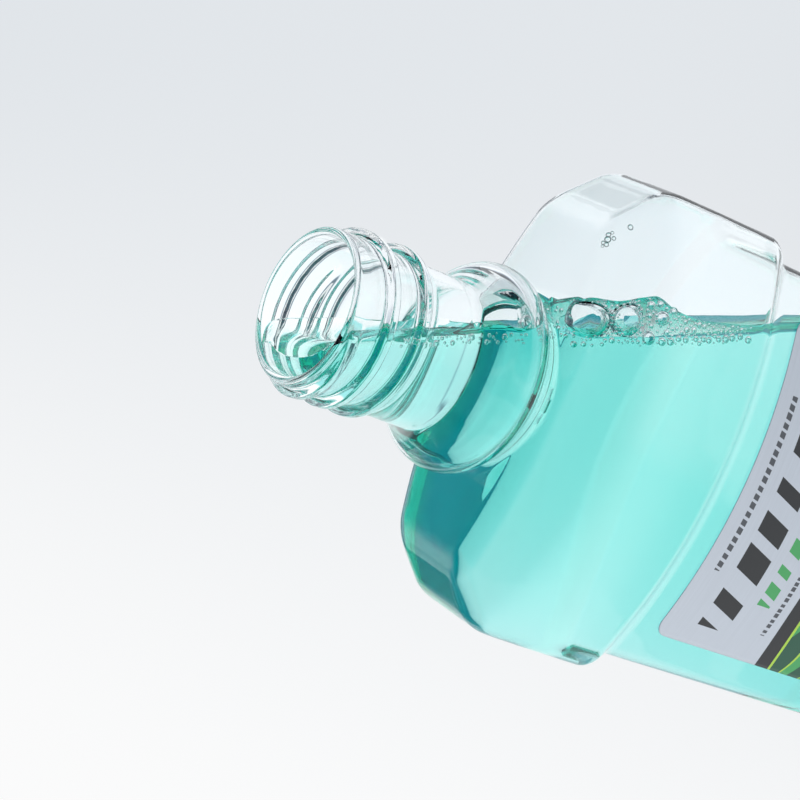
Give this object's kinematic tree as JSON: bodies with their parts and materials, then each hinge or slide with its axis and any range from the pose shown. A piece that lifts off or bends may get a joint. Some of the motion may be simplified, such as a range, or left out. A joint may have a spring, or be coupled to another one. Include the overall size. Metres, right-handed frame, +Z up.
{
  "type": "mouthwash bottle",
  "caption": "Clear oval bottle with a faceted shoulder and threaded neck, front label, coloured liquid tipped for pouring, and a ribbed dosing cap beside it.",
  "frame": {"origin": "centre of the bottle's standing ring, on the table, under the neck axis", "axes": "+Z up along the neck axis, the front label faces -Y, +X to the right of someone who reads the label"},
  "size_m": [0.148, 0.0438, 0.212],
  "materials": {
    "clear_pet": "blow-moulded clear PET",
    "label_film": "silver-grey printed film",
    "liquid": "clear teal liquid",
    "cap_plastic": "moulded, fine grip ribs",
    "liner_foam": "soft foam disc"
  },
  "bodies": {
    "bottle_body": {"bottle": "clear_pet", "front_label": "label_film", "mouthwash": "liquid"},
    "cap_body": {"cap": "cap_plastic", "cap_liner": "liner_foam"}
  },
  "joints": [
    {"name": "cap_lift", "type": "slide", "parent": "bottle_body", "child": "cap_body", "axis": [0, 0, 1], "range_m": [0, 0.08]}
  ]
}
